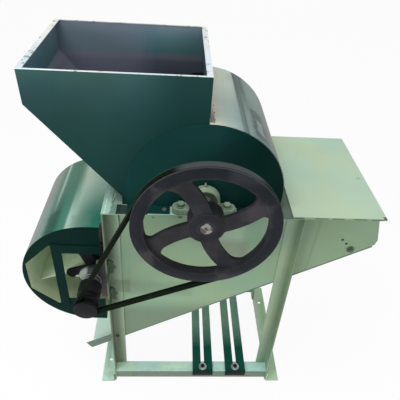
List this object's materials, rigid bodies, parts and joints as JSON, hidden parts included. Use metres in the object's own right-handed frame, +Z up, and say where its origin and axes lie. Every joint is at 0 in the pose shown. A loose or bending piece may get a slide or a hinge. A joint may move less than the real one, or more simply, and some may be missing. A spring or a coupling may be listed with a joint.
{
  "type": "shelling machine",
  "caption": "Belt-driven groundnut shelling machine with a green sheet-metal hopper over a beater drum, a winnowing fan, a sloping chute and an angle-iron stand.",
  "frame": {"origin": "The centre of the four anchor holes in the base angles, on the floor.", "axes": "+X along the frame to the chaff outlet, +Y back from the belt side, +Z up."},
  "size_m": [1.0303, 0.5588, 1.1939],
  "materials": {
    "pale_green": "satin",
    "gloss_green": "gloss",
    "hopper_green": "satin",
    "dark_green": "satin",
    "black_paint": "satin",
    "cast": "rough",
    "steel": "satin",
    "bare_sheet": "satin",
    "plated_bolts": "satin",
    "rusty_steel": "matte",
    "brass_fitting": "satin",
    "belt_rubber": "matte"
  },
  "bodies": {
    "frame": {"front_top_rail": "pale_green", "rear_top_rail": "pale_green", "left_cross_rail": "pale_green", "right_cross_rail": "pale_green", "front_left_leg": "pale_green", "front_right_leg": "pale_green", "rear_left_leg": "pale_green", "rear_right_leg": "pale_green", "front_lower_bar": "pale_green", "rear_lower_bar": "pale_green", "left_base_bar": "pale_green", "right_base_bar": "pale_green", "front_side_plate": "pale_green", "rear_side_plate": "pale_green", "box_roof": "pale_green", "chute_floor": "pale_green", "front_end_plate": "dark_green", "rear_end_plate": "dark_green", "end_plate_bolts": "plated_bolts", "hopper_front_wall": "hopper_green", "hopper_rear_wall": "hopper_green", "hopper_left_wall": "hopper_green", "hopper_right_wall": "hopper_green", "hopper_rim": "bare_sheet", "drum_cover": "gloss_green", "concave_grate": "rusty_steel", "front_bearing_block": "pale_green", "rear_bearing_block": "pale_green", "fan_front_bearing_block": "cast", "fan_rear_bearing_block": "cast", "bearing_bolts": "plated_bolts", "grease_nipples": "brass_fitting", "fan_casing": "gloss_green", "fan_front_plate": "dark_green", "fan_rear_plate": "pale_green", "fan_guard_bars": "dark_green", "drive_belt": "belt_rubber", "left_motor_rail": "gloss_green", "right_motor_rail": "gloss_green", "motor_rail_bolts": "plated_bolts", "tailboard_pegs": "plated_bolts", "tailboard_rod": "plated_bolts", "tray_bolts": "plated_bolts"},
    "drum_rotor": {"drum_shaft": "steel", "drum_pulley": "black_paint", "pulley_key": "steel", "front_spider": "rusty_steel", "rear_spider": "rusty_steel", "beater_bars": "rusty_steel", "drum_inner_rings": "steel"},
    "fan_rotor": {"fan_shaft": "steel", "fan_pulley": "black_paint", "fan_key": "steel", "front_fan_arms": "black_paint", "rear_fan_arms": "black_paint", "fan_paddles": "pale_green", "fan_inner_rings": "steel"},
    "tailboard_flap": {"tailboard": "pale_green"}
  },
  "joints": [
    {"name": "drum_spin", "type": "hinge", "parent": "frame", "child": "drum_rotor", "pos_m": [-0.0045, -0.014, 0.8759], "axis": [0, 1, 0], "continuous": true},
    {"name": "fan_spin", "type": "hinge", "parent": "frame", "child": "fan_rotor", "pos_m": [-0.31784, -0.014, 0.56995], "axis": [0, 1, 0], "continuous": true},
    {"name": "tailboard_tilt", "type": "hinge", "parent": "frame", "child": "tailboard_flap", "pos_m": [0.25074, -0.014, 0.54391], "axis": [0, -1, 0], "range_deg": [0, 20]}
  ],
  "couplings": [
    {"joint": "fan_spin", "follows": "drum_spin", "ratio": 6.2679}
  ]
}
